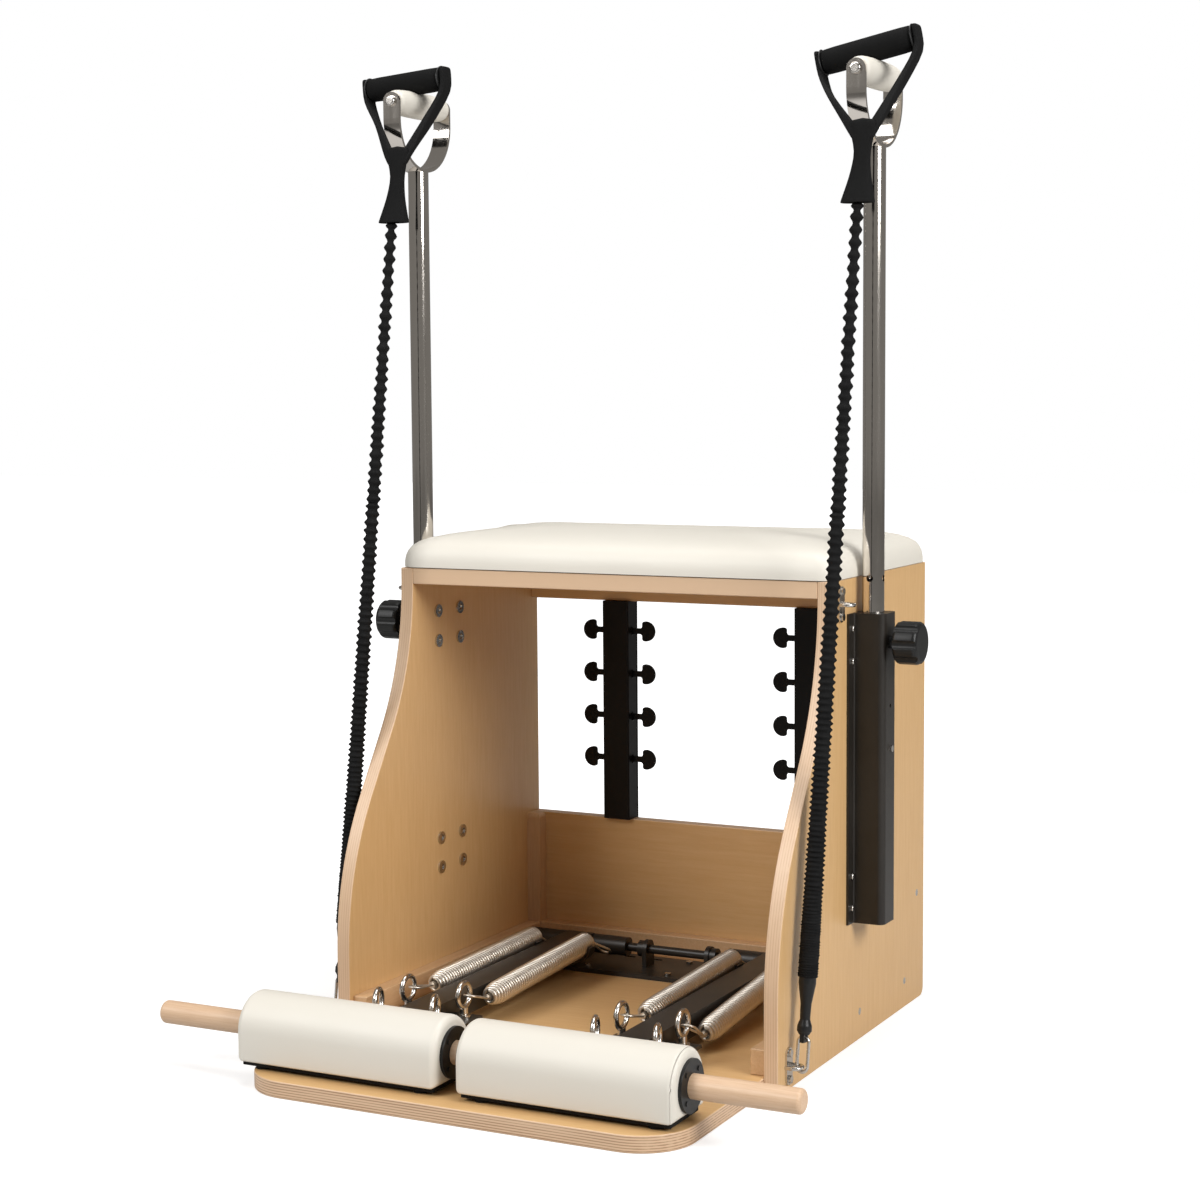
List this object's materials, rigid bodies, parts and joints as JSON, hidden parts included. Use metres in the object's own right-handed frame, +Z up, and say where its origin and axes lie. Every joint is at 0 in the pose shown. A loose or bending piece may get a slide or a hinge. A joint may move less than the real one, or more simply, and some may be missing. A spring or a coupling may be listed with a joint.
{
  "type": "pilates chair",
  "caption": "Plywood pilates chair with a padded seat, hinged sprung foot pedals, a locking dowel, adjustable poles with grips, and handles on elastic cords.",
  "frame": {"origin": "on the floor under the middle of the base board", "axes": "+Z up, +Y to the back, +X to the right seen from the front"},
  "size_m": [0.834, 0.7636, 1.238],
  "materials": {
    "ply": "clear lacquered plywood",
    "batten_wood": "clear lacquered solid wood",
    "dowel_wood": "clear lacquered",
    "white_leather": "soft grained, off-white",
    "black_steel": "satin powder coat",
    "plain_steel": "zinc plated",
    "spring_steel": "bright nickel",
    "polished_steel": "polished",
    "black_plastic": "satin",
    "black_rubber": "matt",
    "black_foam": "matt foam",
    "black_webbing": "woven"
  },
  "bodies": {
    "chair_frame": {"base_plate": "ply", "left_side_panel": "ply", "right_side_panel": "ply", "seat_board": "ply", "rear_top_rail": "ply", "rear_board": "ply", "corner_cleats": "batten_wood", "base_battens": "batten_wood", "seat_cushion": "white_leather", "spring_posts": "black_steel", "spring_hook_plates": "black_steel", "hinge_plate": "black_steel", "hinge_axle": "plain_steel", "axle_collars": "plain_steel", "pole_sleeves": "black_steel", "pole_bushes": "black_plastic", "pad_eyes": "plain_steel", "snap_hooks": "plain_steel", "cord_ends": "black_plastic", "sleeve_bolts": "plain_steel", "wood_screws": "plain_steel", "left_cord_lower": "black_webbing", "right_cord_lower": "black_webbing"},
    "locking_dowel": {"locking_dowel": "dowel_wood"},
    "left_pedal": {"left_pedal_arm": "black_steel", "left_pedal_pad": "white_leather", "left_pad_discs": "black_plastic", "left_pad_feet": "black_rubber", "left_eyebolts": "plain_steel", "left_spring_cradles": "black_steel"},
    "left_pole": {"left_pole": "polished_steel", "left_yoke": "polished_steel", "left_grip": "white_leather", "left_grip_rod": "plain_steel", "left_cord_upper": "black_webbing"},
    "left_knob": {"left_knob": "black_plastic"},
    "left_handle": {"left_handle_bar": "black_foam", "left_handle_strap": "black_webbing"},
    "right_pedal": {"right_pedal_arm": "black_steel", "right_pedal_pad": "white_leather", "right_pad_discs": "black_plastic", "right_pad_feet": "black_rubber", "right_eyebolts": "plain_steel", "right_spring_cradles": "black_steel"},
    "right_pole": {"right_pole": "polished_steel", "right_yoke": "polished_steel", "right_grip": "white_leather", "right_grip_rod": "plain_steel", "right_cord_upper": "black_webbing"},
    "right_knob": {"right_knob": "black_plastic"},
    "right_handle": {"right_handle_bar": "black_foam", "right_handle_strap": "black_webbing"},
    "left_outer_spring": {"left_outer_spring": "spring_steel", "left_outer_spring_links": "spring_steel"},
    "left_inner_spring": {"left_inner_spring": "spring_steel", "left_inner_spring_links": "spring_steel"},
    "right_inner_spring": {"right_inner_spring": "spring_steel", "right_inner_spring_links": "spring_steel"},
    "right_outer_spring": {"right_outer_spring": "spring_steel", "right_outer_spring_links": "spring_steel"}
  },
  "joints": [
    {"name": "left_pedal_hinge", "type": "hinge", "parent": "chair_frame", "child": "left_pedal", "pos_m": [-0.009, 0.267, 0.049], "axis": [-1, 0, 0], "range_deg": [0, 40]},
    {"name": "right_pedal_hinge", "type": "hinge", "parent": "chair_frame", "child": "right_pedal", "pos_m": [-0.009, 0.267, 0.049], "axis": [-1, 0, 0], "range_deg": [0, 40]},
    {"name": "dowel_slide", "type": "slide", "parent": "left_pedal", "child": "locking_dowel", "axis": [1, 0, 0], "range_m": [-0.44, 0]},
    {"name": "left_outer_spring_lift", "type": "hinge", "parent": "left_pedal", "child": "left_outer_spring", "pos_m": [-0.197, -0.11545, 0.07031], "axis": [1, 0, 0], "range_deg": [0, 40]},
    {"name": "left_inner_spring_lift", "type": "hinge", "parent": "left_pedal", "child": "left_inner_spring", "pos_m": [-0.117, -0.11572, 0.06919], "axis": [1, 0, 0], "range_deg": [0, 40]},
    {"name": "right_inner_spring_lift", "type": "hinge", "parent": "right_pedal", "child": "right_inner_spring", "pos_m": [0.099, -0.11563, 0.0695], "axis": [1, 0, 0], "range_deg": [0, 40]},
    {"name": "right_outer_spring_lift", "type": "hinge", "parent": "right_pedal", "child": "right_outer_spring", "pos_m": [0.179, -0.11632, 0.06766], "axis": [1, 0, 0], "range_deg": [0, 40]},
    {"name": "left_pole_slide", "type": "slide", "parent": "chair_frame", "child": "left_pole", "axis": [0, 0, 1], "range_m": [-0.078, 0.156], "deforming": ["left_cord_lower"]},
    {"name": "left_knob_turn", "type": "hinge", "parent": "chair_frame", "child": "left_knob", "pos_m": [-0.351, 0.129, 0.502], "axis": [1, 0, 0], "continuous": true},
    {"name": "left_handle_lift", "type": "slide", "parent": "left_pole", "child": "left_handle", "axis": [0, 0, 1], "range_m": [0, 0.12], "deforming": ["left_cord_upper"]},
    {"name": "right_pole_slide", "type": "slide", "parent": "chair_frame", "child": "right_pole", "axis": [0, 0, 1], "range_m": [-0.078, 0.156], "deforming": ["right_cord_lower"]},
    {"name": "right_knob_turn", "type": "hinge", "parent": "chair_frame", "child": "right_knob", "pos_m": [0.351, 0.129, 0.502], "axis": [1, 0, 0], "continuous": true},
    {"name": "right_handle_lift", "type": "slide", "parent": "right_pole", "child": "right_handle", "axis": [0, 0, 1], "range_m": [0, 0.12], "deforming": ["right_cord_upper"]}
  ],
  "couplings": [
    {"joint": "right_pedal_hinge", "follows": "left_pedal_hinge", "ratio": 1}
  ]
}
